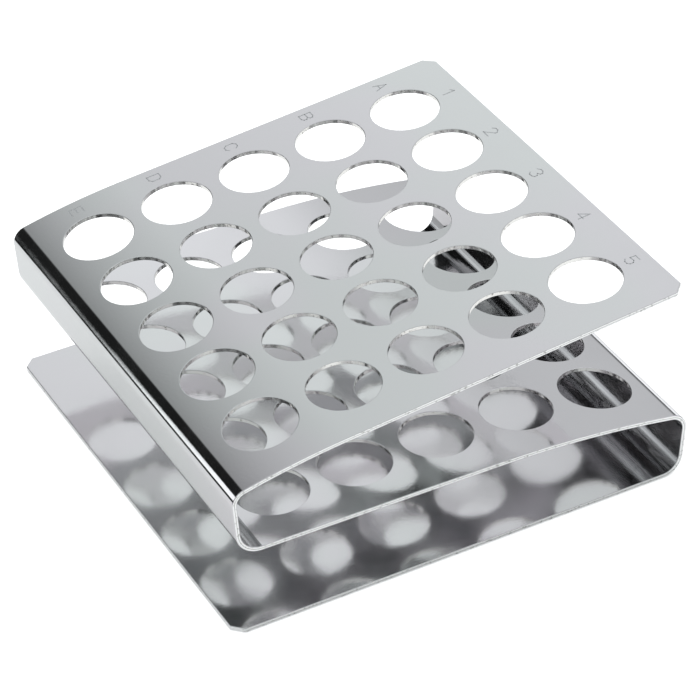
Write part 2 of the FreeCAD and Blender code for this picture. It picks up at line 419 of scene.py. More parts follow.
class SheetSkin:
    """Builds the skin of one stretch: two faces, broken edges, drilled walls and end caps.

    Attributes:
        flat_step: length of the quads on flats and sweeps, in metres.
        bend_step: angle of the quads round a tight bend, in radians.
        plain_lines: lines across a stretch without holes.
    """

    flat_step: float = 0.004
    bend_step: float = math.radians(2.0)
    plain_lines: int = 23

    def __init__(self, run: Run, gauge: float, depth: float, edge: EdgeWork,
                 holes: TubeHoles | None = None) -> None:
        """Sets the sizes.

        Args:
            run: the stretch in place.
            gauge: thickness of the sheet, in metres.
            depth: width of the sheet, in metres.
            edge: how the edges are broken.
            holes: the tube holes, for a shelf.
        """
        self.run, self.half, self.side = run, gauge / 2, depth / 2
        self.edge, self.holes = edge, holes
        self.broken = edge.radius * MM
        self.patches = Patchwork()
        self.centres = self._hole_centres() if holes else np.array([])

    # ---- lines that the faces are divided along
    def _hole_centres(self) -> np.ndarray:
        """Where each column's axis meets the mid gauge line, along the sheet, in order."""
        reached = self._onto(self.holes.places, np.zeros(len(self.holes.places)))[0]
        return np.sort(reached)

    def _onto(self, points: np.ndarray, out: np.ndarray) -> tuple[np.ndarray, np.ndarray]:
        """Slides points along the tube axis until they lie at a distance off the path.

        Newton's rule: the miss, divided by how fast the distance grows along the axis.

        Args:
            points: (n, 2) places, as x and z.
            out: the distance off the path that is wanted.

        Returns:
            The distance along the sheet, and the slide.
        """
        ax, az = self.holes.axis[0], self.holes.axis[2]
        slide = np.zeros(len(points))
        for _ in range(SLIDES):
            x, z = points[:, 0] + slide * ax, points[:, 1] + slide * az
            along, now = self.run.unrolled(x, z)
            way = self.run.at(along)[2]
            slide = slide + (out - now) / (-ax * np.sin(way) + az * np.cos(way))
        return along, slide

    def _spread(self) -> np.ndarray:
        """Where a cell's border is cut, from -1 to 1: tangents of evenly spaced angles."""
        side = self.holes.segments // 4
        return np.tan(np.linspace(-math.pi / 4, math.pi / 4, side + 1))

    @staticmethod
    def _cell_lines(centres: np.ndarray) -> np.ndarray:
        """Borders of the cells along one way: halfway between the holes, and as far outside."""
        middles = (centres[1:] + centres[:-1]) / 2
        first = centres[0] - (middles[0] - centres[0])
        last = centres[-1] + (centres[-1] - middles[-1])
        return np.concatenate([[first], middles, [last]])

    def _cut_cells(self, centres: np.ndarray) -> np.ndarray:
        """Every line through the cells: each cell's border, cut by the spread about its hole."""
        borders, spread = self._cell_lines(centres), self._spread()
        low = centres[:, None] - (centres - borders[:-1])[:, None] * np.abs(spread)
        high = centres[:, None] + (borders[1:] - centres)[:, None] * np.abs(spread)
        lines = np.where(spread < 0, low, high)
        return np.append(lines[:, :-1].ravel(), borders[-1])

    @staticmethod
    def _margin(start: float, end: float, step: float) -> np.ndarray:
        """Evenly spaced lines from start up to end, without end."""
        count = max(1, math.ceil((end - start) / step))
        return np.linspace(start, end, count, endpoint=False)

    def _along_lines(self) -> np.ndarray:
        """Every line across the sheet, as distances along it."""
        run, stretch = self.run, self.run.stretch
        first = self.broken if stretch.free_end == "start" else 0.0
        last = run.length - (self.broken if stretch.free_end == "end" else 0.0)
        soft, clip = self.edge.corner_soften * MM, self.edge.corner_clip * MM
        if self.holes:
            cells = self._cut_cells(self.centres)
            lines = [self._margin(first, cells[0], self.flat_step), cells,
                     self._margin(cells[-1], last, self.flat_step)[1:], [last]]
        else:
            step = self.bend_step * run.radius if run.arc else self.flat_step
            lines = [self._margin(first, run.arc, step) if run.arc else [],
                     self._margin(max(first, run.arc), last, step), [last]]
        if stretch.free_end:
            end, inward = (last, -1) if stretch.free_end == "end" else (first, 1)
            corner = end + inward * clip
            lines.append([corner - soft, corner, corner + soft, end + inward * soft])
        return np.unique(np.round(np.concatenate(lines), 9))

    def _across_lines(self) -> np.ndarray:
        """Every line along the sheet, as distances across it."""
        edge, clip = self.side - self.broken, self.edge.corner_clip * MM
        soft = self.edge.corner_soften * MM
        marks = [-edge, -edge + clip, -edge + clip + soft, 0.0,
                 edge - clip - soft, edge - clip, edge]
        if self.holes:
            marks += list(self._cut_cells(self.holes.rows))
        else:
            marks += list(np.linspace(-edge, edge, self.plain_lines))
        return np.unique(np.round(marks, 9))

    def _clipped(self, along: np.ndarray, across: np.ndarray) -> np.ndarray:
        """Draws the outer lines in where the corners of a free end are clipped.

        Past the clip's start, everything beyond the clip's inner line is squeezed evenly to
        the width that the sheet still has there.

        Args:
            along: distances along the sheet.
            across: distances across it.

        Returns:
            The new distances across.
        """
        free = self.run.stretch.free_end
        if not free:
            return across
        clip, edge = self.edge.corner_clip * MM, self.side - self.broken
        end = self.run.length - self.broken if free == "end" else self.broken
        gone = np.clip(clip - np.abs(end - along), 0.0, clip)
        fixed = edge - clip - self.edge.corner_soften * MM
        beyond = np.clip(np.abs(across) - fixed, 0.0, None)
        squeeze = (edge - gone - fixed) / (edge - fixed)
        return np.sign(across) * (np.minimum(np.abs(across), fixed) + beyond * squeeze)

    # ---- patches
    def _put(self, along: np.ndarray, across: np.ndarray, out: np.ndarray,
             local: np.ndarray, beyond: np.ndarray | float = 0.0) -> np.ndarray:
        """Adds corners given on the sheet, with normals given as (along, across, out).

        On the UV map they lie beyond their place across the blank by the distance given.
        """
        along, across, out = np.broadcast_arrays(along, across, out)
        points = self.run.skin(along, across, out)
        normals = self.run.turned(along, np.broadcast_to(local, points.shape))
        blank = np.stack([self.run.begin + along, across + beyond], -1)
        return self.patches.add(points, normals, blank)

    def _face(self, sign: int) -> np.ndarray:
        """One broad face as a grid of lines, open where the cells of the holes go.

        Args:
            sign: 1 for the face to the left of the path, -1 for the other.

        Returns:
            The grid's corner numbers.
        """
        along, across = np.meshgrid(self._along_lines(), self._across_lines(), indexing="ij")
        numbers = self._put(along, self._clipped(along, across), sign * self.half,
                            np.array([0.0, 0.0, sign]))
        if not self.holes:
            # The hollow face of a bend takes the darker finish: painted shade in the crease.
            hollow = self.run.turn * sign > 0
            self.patches.grid(numbers, Face.INSIDE if hollow else Face.POLISH, flip=sign < 0)
            return numbers
        s, y = along[:, 0], across[0]
        cs, cy = self._cell_lines(self.centres), self._cell_lines(self.holes.rows)
        s0, s1 = np.argmin(np.abs(s - cs[0])), np.argmin(np.abs(s - cs[-1]))
        y0, y1 = np.argmin(np.abs(y - cy[0])), np.argmin(np.abs(y - cy[-1]))
        for block in (numbers[:s0 + 1], numbers[s1:], numbers[s0:s1 + 1, :y0 + 1],
                      numbers[s0:s1 + 1, y1:]):
            self.patches.grid(block, Face.POLISH, flip=sign < 0)
        return numbers

    def _rim(self, numbers: np.ndarray) -> tuple[np.ndarray, np.ndarray, np.ndarray]:
        """The face's free outline in order, with the way outwards at each corner.

        Args:
            numbers: the grid of one face.

        Returns:
            Grid rows, grid columns, and (n, 2) outward vectors, mitred at corners.
        """
        rows, columns = numbers.shape
        up, down = np.arange(rows), np.arange(rows)[::-1]
        free = self.run.stretch.free_end
        if free == "end":
            inner = np.arange(columns)[::-1][1:-1]
            i = np.concatenate([up, np.full(len(inner), rows - 1), down])
            j = np.concatenate([np.full(rows, columns - 1), inner, np.zeros(rows, int)])
        else:
            inner = np.arange(columns)[1:-1]
            i = np.concatenate([down, np.zeros(len(inner), int), up])
            j = np.concatenate([np.zeros(rows, int), inner, np.full(rows, columns - 1)])
        s, y = self._along_lines()[i], self._across_lines()[j]
        spots = np.stack([s, self._clipped(s, y)], -1)
        step = np.diff(spots, axis=0)
        ways = np.stack([-step[:, 1], step[:, 0]], -1)
        ways /= np.linalg.norm(ways, axis=1, keepdims=True)
        before = np.concatenate([ways[:1], ways])
        after = np.concatenate([ways, ways[-1:]])
        mitre = before + after
        mitre /= (mitre * (before + after)).sum(1, keepdims=True) / 2
        return i, j, mitre

    def _sides(self) -> list[tuple[np.ndarray, np.ndarray, np.ndarray]]:
        """The free outline as open runs: one on each side, or one in all round a free end."""
        rows, columns = len(self._along_lines()), len(self._across_lines())
        if self.run.stretch.free_end:
            return [self._rim(np.zeros((rows, columns)))]
        order = np.arange(rows)
        plus = (order, np.full(rows, columns - 1), np.tile([0.0, 1.0], (rows, 1)))
        minus = (order, np.zeros(rows, int), np.tile([0.0, -1.0], (rows, 1)))
        return [plus, minus]

    def _broken_edge(self) -> dict[int, list[np.ndarray]]:
        """Rounds the free outline over on both faces and closes it with the sheared wall.

        A row at angle t lies out by the radius times sin t and down by it times one less cos t.

        Returns:
            Side number to the wall's corner grids, kept for the caps.
        """
        s, y = self._along_lines(), self._across_lines()
        turns = self.edge.turns()
        kept: dict[int, list[np.ndarray]] = {}
        for number, (i, j, way) in enumerate(self._sides()):
            along, across = s[i], self._clipped(s[i], y[j])
            unit = way / np.linalg.norm(way, axis=1, keepdims=True)
            bands = []
            for sign in (1, -1):
                t = turns[:, None]
                out = sign * (self.half - self.broken * (1 - np.cos(t)))
                reach = self.broken * np.sin(t)
                local = np.stack(np.broadcast_arrays(
                    np.sin(t) * unit[:, 0], np.sin(t) * unit[:, 1], sign * np.cos(t)), -1)
                grid = self._put(along + reach * way[:, 0], across + reach * way[:, 1],
                                 out, local)
                flip = self._turns_over(i, j, way) == (sign > 0)
                self.patches.grid(grid, Face.POLISH, flip=flip)
                bands.append(grid)
            level = np.array([[1.0], [-1.0]]) * (self.half - self.broken)
            wall = self._put(along + self.broken * way[:, 0], across + self.broken * way[:, 1],
                             level, np.pad(unit, ((0, 0), (0, 1))),
                             np.sign(across) * (self.half - self.broken - level))
            self.patches.grid(wall, Face.CUT, flip=self._turns_over(i, j, way))
            kept[number] = bands
        return kept

    def _turns_over(self, i: np.ndarray, j: np.ndarray, way: np.ndarray) -> bool:
        """Whether a run of the outline goes clockwise about its outward way."""
        s, y = self._along_lines(), self._across_lines()
        step = np.array([s[i[1]] - s[i[0]], y[j[1]] - y[j[0]]])
        return bool(way[0, 0] * step[1] - way[0, 1] * step[0] < 0)

    def _cap(self, faces: list[np.ndarray], edges: dict[int, list[np.ndarray]], end: bool) -> None:
        """Closes one fold line end with a flat cap between the two faces.

        Args:
            faces: the two faces' grids.
            edges: what _broken_edge returned.
            end: the far end rather than the start.
        """
        row = -1 if end else 0
        chains = []
        for side, face in enumerate(faces):
            if len(edges) == 2:
                plus, minus = edges[0][side][:, row], edges[1][side][:, row]
            else:
                ends = (0, -1) if self.run.stretch.free_end == "end" else (-1, 0)
                plus, minus = edges[0][side][:, ends[0]], edges[0][side][:, ends[1]]
            chains.append(np.concatenate([minus[::-1], face[row], plus]))
        normal = self.run.turned(np.array(self.run.length if end else 0.0),
                                 np.array([1.0 if end else -1.0, 0.0, 0.0]))
        self.patches.grid(np.stack(chains), Face.POLISH, flip=not end, normal=normal)

    def _drill(self) -> None:
        """Fills every cell round its hole: face rings, broken lips and the drilled wall.

        Each ring is where lines beside the tube axis, at the ring's radius, meet the face. A lip
        runs from that ring to the wall as a quarter ellipse, and the wall follows the axis.
        """
        holes, turns = self.holes, self.edge.turns()
        phi = np.linspace(-math.pi / 4, 2 * math.pi - math.pi / 4, holes.segments + 1)[:-1]
        order = np.append(np.arange(holes.segments), 0)
        ahead = np.array([holes.axis[2], -holes.axis[0]])
        way = self.run.at(self.centres[:1])[2]
        ahead = ahead * np.sign(ahead[0] * np.cos(way) + ahead[1] * np.sin(way))
        borders_s, borders_y = self._cell_lines(self.centres), self._cell_lines(holes.rows)
        for column, centre in enumerate(self.centres):
            cx, cz, _ = (float(v) for v in self.run.at(np.array(centre)))
            lips = self._lips(np.array([cx, cz]), ahead, phi, turns)
            for row, y in enumerate(holes.rows):
                box_s = borders_s[column:column + 2] - centre
                box_y = borders_y[row:row + 2] - y
                border = self._border(phi, centre, y, box_s, box_y)
                walls = [self._hole_side(lip, border, y, sign, order) for sign, lip in lips.items()]
                self.patches.grid(np.stack(walls), Face.DRILLED, flip=True)

    def _lips(self, centre: np.ndarray, ahead: np.ndarray, phi: np.ndarray,
              turns: np.ndarray) -> dict[int, np.ndarray]:
        """Works out the lip of one column's holes on both faces.

        Args:
            centre: (x, z) of the hole on the mid gauge line.
            ahead: (x, z) unit vector square to the axis, along the sheet.
            phi: angles round the hole.
            turns: angles round the lip.

        Returns:
            Face sign to (turns, phi, 3) points, with Y measured from the axis.
        """
        lips = {}
        for sign in (1, -1):
            face, below = sign * self.half, sign * (self.half - self.broken)
            corner = self._meet(centre, ahead, phi, self.holes.radius, face)
            outer = self._meet(centre, ahead, phi, self.holes.radius + self.broken, face)
            inner = self._meet(centre, ahead, phi, self.holes.radius, below)
            hub = outer + inner - corner
            t = turns[:, None, None]
            lips[sign] = hub + (outer - hub) * np.cos(t) + (inner - hub) * np.sin(t)
        return lips

    def _meet(self, centre: np.ndarray, ahead: np.ndarray, phi: np.ndarray, radius: float,
              out: float) -> np.ndarray:
        """Where lines beside the tube axis, at a radius from it, lie at a distance off the path.

        Args:
            centre: (x, z) on the axis.
            ahead: (x, z) unit vector square to the axis.
            phi: angles round the axis.
            radius: distance from the axis.
            out: distance off the path.

        Returns:
            (n, 3) points, with Y measured from the axis.
        """
        flat = centre + radius * np.cos(phi)[:, None] * ahead
        slide = self._onto(flat, np.full(len(phi), out))[1]
        x = flat[:, 0] + slide * self.holes.axis[0]
        z = flat[:, 1] + slide * self.holes.axis[2]
        return np.stack([x, radius * np.sin(phi), z], -1)

    @staticmethod
    def _border(phi: np.ndarray, centre: float, y: float, box_s: np.ndarray,
                box_y: np.ndarray) -> np.ndarray:
        """A cell's border, cut where the lines of the neighbouring cells are.

        Args:
            phi: angles round the hole.
            centre: the hole's place along the sheet.
            y: the hole's Y.
            box_s: the border's near and far side from the centre, along.
            box_y: the same, across.

        Returns:
            (n, 2) places as (along, across).
        """
        size = np.maximum(np.abs(np.cos(phi)), np.abs(np.sin(phi)))
        qs, qy = np.cos(phi) / size, np.sin(phi) / size
        along = centre + np.where(qs < 0, -box_s[0], box_s[1]) * qs
        across = y + np.where(qy < 0, -box_y[0], box_y[1]) * qy
        return np.round(np.stack([along, across], -1), 9)

    def _hole_side(self, lip: np.ndarray, border: np.ndarray, y: float, sign: int,
                   order: np.ndarray) -> np.ndarray:
        """Adds one face's part of a cell, from its border over the lip to the wall.

        Args:
            lip: the lip's points, with Y measured from the axis.
            border: the cell's border.
            y: the hole's Y.
            sign: which face.
            order: corner order round the hole, closed.

        Returns:
            Corner numbers of the wall's end on this face, closed.
        """
        points = lip + np.array([0.0, y, 0.0])
        along, _ = self.run.unrolled(points[0, :, 0], points[0, :, 2])
        start = np.stack([along, points[0, :, 1]], -1)
        share = np.array(self.holes.rings)[:, None, None]
        cells = start + (border - start) * share
        face = self._put(cells[..., 0], cells[..., 1], sign * self.half,
                         np.array([0.0, 0.0, sign]))
        self.patches.grid(face[:, order], Face.POLISH, flip=sign < 0)

        hub = np.array([points[-1, :, 0].mean(), y, points[-1, :, 2].mean()])
        away = points[-1] - hub
        axis = self.holes.axis
        wall_normal = -(away - (away @ axis)[:, None] * axis)
        wall_normal /= np.linalg.norm(wall_normal, axis=1, keepdims=True)
        surface = self.run.turned(along, np.tile([0.0, 0.0, float(sign)], (len(along), 1)))
        t = self.edge.turns()[:, None, None]
        normals = surface * np.cos(t) + wall_normal * np.sin(t)
        flat = np.broadcast_to(start + [self.run.begin, 0.0], points.shape[:-1] + (2,))
        lip_numbers = self.patches.add(points, normals, flat)
        self.patches.grid(lip_numbers[:, order], Face.POLISH, flip=sign > 0)
        return lip_numbers[-1][order]

    def build(self) -> bpy.types.Object:
        """Builds the skin and links its object at the origin.

        Returns:
            The object, riding on the rack's body in place of its CAD node.
        """
        node = self.run.stretch.node
        faces = [self._face(sign) for sign in (1, -1)]
        edges = self._broken_edge()
        free = self.run.stretch.free_end
        for end in (False, True):
            if free != ("end" if end else "start"):
                self._cap(faces, edges, end)
        if self.holes:
            self._drill()
        piece = bpy.data.objects.new(f"{node}_skin", self.patches.mesh(node))
        bpy.context.scene.collection.objects.link(piece)
        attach(piece, "root")
        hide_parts(node)
        log.info("%s: %d quads", piece.name, len(piece.data.polygons))
        return piece


# ---------------------------------------------------------------- index marks
@dataclass(frozen=True)
class IndexMarks:
    """The column letters and row digits of the top shelf.

    Each character is a few straight strokes over a grid two wide and four high. Its top points
    to +X. A stroke is a thin flat box with square ends, just clear of the polish.

    Attributes:
        height: height of a character, in mm.
        width: width of a character, in mm.
        stroke: width of a stroke, in mm.
        letter_line: Y of the letters, in mm.
        digit_gap: from the last column of holes to the digits, in mm.
        lift: height of a stroke's top over the polish, in mm; its underside is at a third of it.
        overrun: how far a stroke runs past its ends, as a share of half its width.
        strokes: each character's runs of grid points, as "across,up".
    """

    height: float = 3.3
    width: float = 2.35
    stroke: float = 0.3
    letter_line: float = 57.0
    digit_gap: float = 12.9
    lift: float = 0.012
    overrun: float = 0.9
    strokes: dict[str, tuple[str, ...]] = field(default_factory=lambda: {
        "A": ("0,0 1,4 2,0", "0.4,1.5 1.6,1.5"),
        "B": ("0,0 0,4 1.4,4 2,3.5 2,2.6 1.4,2.1 0,2.1", "1.4,2.1 2,1.5 2,0.6 1.4,0 0,0"),
        "C": ("2,3.2 1.4,4 0.6,4 0,3.2 0,0.8 0.6,0 1.4,0 2,0.8",),
        "D": ("0,0 0,4 1.3,4 2,3.2 2,0.8 1.3,0 0,0",),
        "E": ("2,4 0,4 0,0 2,0", "0,2 1.6,2"),
        "1": ("0.5,3.2 1.3,4 1.3,0",),
        "2": ("0,3.2 0.6,4 1.4,4 2,3.3 2,2.6 0,0 2,0",),
        "3": ("0,3.3 0.6,4 1.4,4 2,3.4 2,2.6 1.4,2.1 2,1.5 2,0.6 1.4,0 0.6,0 0,0.7",),
        "4": ("1.5,0 1.5,4 0,1.2 2,1.2",),
        "5": ("1.9,4 0.3,4 0.2,2.2 1.4,2.4 2,1.7 2,0.7 1.4,0 0.6,0 0,0.6",),
    })

    def _segments(self, character: str) -> np.ndarray:
        """A character's strokes as (n, 2, 2) start and end points, as along and across, in mm."""
        runs = []
        for line in self.strokes[character]:
            points = np.array([[float(v) for v in pair.split(",")] for pair in line.split()])
            runs.append(np.stack([points[:-1], points[1:]], 1))
        grid = np.concatenate(runs)
        along = (grid[..., 1] - 2) * self.height / 4
        across = (1 - grid[..., 0]) * self.width / 2
        return np.stack([along, across], -1)

    def _places(self, holes: TubeHoles, centres: np.ndarray) -> list[tuple[str, np.ndarray]]:
        """Every character with its centre on the shelf.

        Args:
            holes: the tube holes.
            centres: the columns' places along the sheet.

        Returns:
            (character, (along, across)) in metres.
        """
        letters = [(c, np.array([s, self.letter_line * MM])) for c, s in zip("EDCBA", centres)]
        reach = centres[-1] + self.digit_gap * MM
        return letters + [(c, np.array([reach, y])) for c, y in zip("54321", holes.rows)]

    def _boxes(self, ends: np.ndarray) -> tuple[np.ndarray, np.ndarray]:
        """Turns strokes into square-ended flat boxes.

        Args:
            ends: (n, 2, 2) start and end points, as along and across.

        Returns:
            (n, 6, 4, 3) corners and (n, 6, 3) normals, as (along, across, out).
        """
        way = ends[:, 1] - ends[:, 0]
        way /= np.linalg.norm(way, axis=1, keepdims=True)
        side = np.stack([-way[:, 1], way[:, 0]], -1)
        reach = self.stroke * MM / 2
        over = way * reach * self.overrun
        start, end = ends[:, 0] - over, ends[:, 1] + over
        outline = np.stack([start - side * reach, end - side * reach,
                            end + side * reach, start + side * reach], 1)
        low, high = (np.dstack([outline, np.full(outline.shape[:2], level * MM)])
                     for level in (self.lift / 3, self.lift))
        after = [1, 2, 3, 0]
        walls = np.stack([low, low[:, after], high[:, after], high], 2)
        corners = np.concatenate([high[:, None], low[:, None, ::-1], walls], 1)
        flat = np.pad(np.stack([-side, way, side, -way], 1), ((0, 0), (0, 0), (0, 1)))
        up = np.tile([0.0, 0.0, 1.0], (len(ends), 1, 1))
        return corners, np.concatenate([up, -up, flat], 1)

    def build(self, skin: SheetSkin) -> bpy.types.Object:
        """Builds every mark as one piece.

        Args:
            skin: the top shelf's skin.

        Returns:
            The object, at the origin.
        """
        strokes = [self._segments(character) * MM + centre
                   for character, centre in self._places(skin.holes, skin.centres)]
        corners, normals = self._boxes(np.concatenate(strokes))
        along, across = corners[..., 0], corners[..., 1]
        points = skin.run.skin(along, across, skin.half + corners[..., 2])
        facing = skin.run.turned(along, np.broadcast_to(normals[:, :, None], corners.shape))
        patches = Patchwork()
        numbers = patches.add(points, facing, corners[..., :2])
        patches.loose(numbers.reshape(-1, 4), Face.POLISH)
        piece = bpy.data.objects.new("index_marks", patches.mesh("index_marks"))
        bpy.context.scene.collection.objects.link(piece)
        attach(piece, "root")
        log.info("%s: %d strokes", piece.name, len(corners))
        return piece


# ---------------------------------------------------------------- finishes
class Nodes:
    """A small helper that places shader nodes and links them."""

    def __init__(self, tree: bpy.types.NodeTree) -> None:
        """Takes the tree that the nodes go in."""
        self.tree = tree

    def add(self, kind: str, inputs: dict[str, object] | None = None,
            **settings: object) -> bpy.types.Node:
        """Adds a node, sets it up and links what its inputs name.

        Args:
            kind: the node's type.
            inputs: socket name to a value, or to another node's output socket.
            settings: properties of the node.

        Returns:
            The node.
        """
        node = self.tree.nodes.new(kind)
        for name, value in settings.items():
            setattr(node, name, value)
        self.feed(node, inputs or {})
        return node

    def feed(self, node: bpy.types.Node, inputs: dict[str, object]) -> None:
        """Sets a node's inputs to values, or links them to other nodes' output sockets."""
        for name, value in inputs.items():
            socket = node.inputs[int(name) if name.isdigit() else name]
            if isinstance(value, bpy.types.NodeSocket):
                self.tree.links.new(value, socket)
            else:
                socket.default_value = value

    def maths(self, operation: str, *values: object) -> bpy.types.NodeSocket:
        """The result of a Math node over numbers or sockets."""
        inputs = {str(i): v for i, v in enumerate(values)}
        return self.add("ShaderNodeMath", inputs, operation=operation).outputs[0]

    def fold(self, operation: str, *values: object) -> bpy.types.NodeSocket:
        """The result of a Math node of two inputs, used over and over on a row of values."""
        return reduce(lambda a, b: self.maths(operation, a, b), values)

    def blend(self, factor: bpy.types.NodeSocket, first: tuple[float, ...],
              second: tuple[float, ...]) -> bpy.types.NodeSocket:
        """A colour that is the first where the factor is 0 and the second where it is 1."""
        node = self.add("ShaderNodeMix", data_type="RGBA")
        colours = [s for s in node.inputs if s.type == "RGBA"]
        colours[0].default_value, colours[1].default_value = (*first, 1.0), (*second, 1.0)
        self.tree.links.new(factor, next(s for s in node.inputs if s.type == "VALUE"))
        return next(s for s in node.outputs if s.type == "RGBA")

    def bump(self, height: bpy.types.NodeSocket, distance: float,
             strength: float) -> bpy.types.NodeSocket:
        """The normal of a surface raised by the height times a distance in metres."""
        inputs = {"Height": height, "Distance": distance, "Strength": strength}
        return self.add("ShaderNodeBump", inputs).outputs[0]

    def ramp(self, value: bpy.types.NodeSocket, low: float, high: float, start: float,
             end: float, smooth: bool = True) -> bpy.types.NodeSocket:
        """Maps a value from low..high to start..end, eased at both ends if smooth."""
        kind = "SMOOTHSTEP" if smooth else "LINEAR"
        inputs = {"Value": value, "From Min": low, "From Max": high, "To Min": start, "To Max": end}
        return self.add("ShaderNodeMapRange", inputs, interpolation_type=kind).outputs[0]


def new_group(name: str, inputs: dict[str, float],
              outputs: tuple[str, ...]) -> tuple[Nodes, bpy.types.Node, bpy.types.Node]:
    """Makes an empty shader group whose sockets all carry one number.

    Args:
        name: the group's name.
        inputs: socket name to default.
        outputs: socket names.

    Returns:
        A helper for the group's nodes, and its input and output nodes.
    """
    group = bpy.data.node_groups.new(name, "ShaderNodeTree")
    for label, default in inputs.items():
        socket = group.interface.new_socket(label, in_out="INPUT", socket_type="NodeSocketFloat")
        socket.default_value = default
    for label in outputs:
        group.interface.new_socket(label, in_out="OUTPUT", socket_type="NodeSocketFloat")
    n = Nodes(group)
    return n, n.add("NodeGroupInput"), n.add("NodeGroupOutput")


def polish_group() -> bpy.types.NodeTree:
    """The polish of rolled sheet: fine grain, clouds of haze, and lines across the strip.

    Grain is fine noise drawn out along the blank. Haze is noise over centimetres, and Cloud over
    decimetres. Lines is noise that changes only along the blank, as a brake's jaws mark a bend.

    Returns:
        A group with Haze, Grain, Cloud and Lines masks and a Height for bump.
    """
    n, given, out = new_group("rolled_polish",
                              {"Grain Scale": 1500.0, "Haze Scale": 55.0, "Stretch": 0.8},
                              ("Haze", "Grain", "Cloud", "Lines", "Height"))
    blank = n.add("ShaderNodeUVMap", uv_map="blank").outputs[0]
    apart = n.add("ShaderNodeSeparateXYZ", {"0": blank})
    along = n.maths("MULTIPLY", apart.outputs[0], given.outputs["Stretch"])
    drawn = n.add("ShaderNodeCombineXYZ", {"0": along, "1": apart.outputs[1]}).outputs[0]
    ruled = n.add("ShaderNodeCombineXYZ", {"0": apart.outputs[0]}).outputs[0]
    place = n.add("ShaderNodeTexCoord").outputs["Object"]
    made = {}
    for label, vector, scale, detail in (
            ("Grain", drawn, given.outputs["Grain Scale"], 3.0),
            ("Haze", place, given.outputs["Haze Scale"], 4.0),
            ("Cloud", place, 14.0, 2.0), ("Lines", ruled, 1300.0, 2.0),
            ("Ripple", place, 22.0, 1.0)):
        inputs = {"Vector": vector, "Scale": scale, "Detail": detail, "Roughness": 0.6}
        made[label] = n.add("ShaderNodeTexNoise", inputs).outputs[0]
    made["Height"] = n.maths("MULTIPLY_ADD", made["Grain"], 0.2, made.pop("Ripple"))
    n.feed(out, made)
    return n.tree


@dataclass(frozen=True)
class Steel:
    """Polished stainless sheet, flat or bent; a darker copy of it is the painted shade inside the
    tight bends.

    Attributes:
        name: the material's name.
        tint: colour of the metal's reflections.
        lilac: their colour in the warmer clouds.
        clear: roughness where the polish is clearest.
        hazy: roughness in the clouds of haze.
        grain: how much more the grain adds to the roughness.
        waviness: strength of the sheet's faint ripple.
        lines: height of the brake's lines, against the ripple's.
        hazes: values of the haze mask between which the haze comes in.
        clouds: values of the cloud mask between which the tints change over.
        relief: depth of the ripple at full strength, in metres.
    """

    name: str = "polished_stainless"
    tint: tuple[float, float, float] = (0.64, 0.65, 0.65)
    lilac: tuple[float, float, float] = (0.655, 0.64, 0.66)
    clear: float = 0.055
    hazy: float = 0.12
    grain: float = 0.04
    waviness: float = 0.05
    lines: float = 0.0
    hazes: tuple[float, float] = (0.35, 0.68)
    clouds: tuple[float, float] = (0.42, 0.58)
    relief: float = 0.0005

    def make(self, polish: bpy.types.NodeTree) -> bpy.types.Material:
        """Builds the material round the shared polish group.

        Args:
            polish: the group from polish_group().

        Returns:
            The material.
        """
        material, n, shader = new_material(self.name)
        worn = n.add("ShaderNodeGroup", node_tree=polish)
        haze = n.ramp(worn.outputs["Haze"], *self.hazes, self.clear, self.hazy)
        clouds = n.ramp(worn.outputs["Cloud"], *self.clouds, 0.0, 1.0)
        height = n.maths("MULTIPLY_ADD", worn.outputs["Lines"], self.lines, worn.outputs["Height"])
        n.feed(shader, {
            "Metallic": 1.0,
            "Base Color": n.blend(clouds, self.tint, self.lilac),
            "Roughness": n.maths("MULTIPLY_ADD", worn.outputs["Grain"], self.grain, haze),
            "Normal": n.bump(height, self.relief, self.waviness)})
        return material


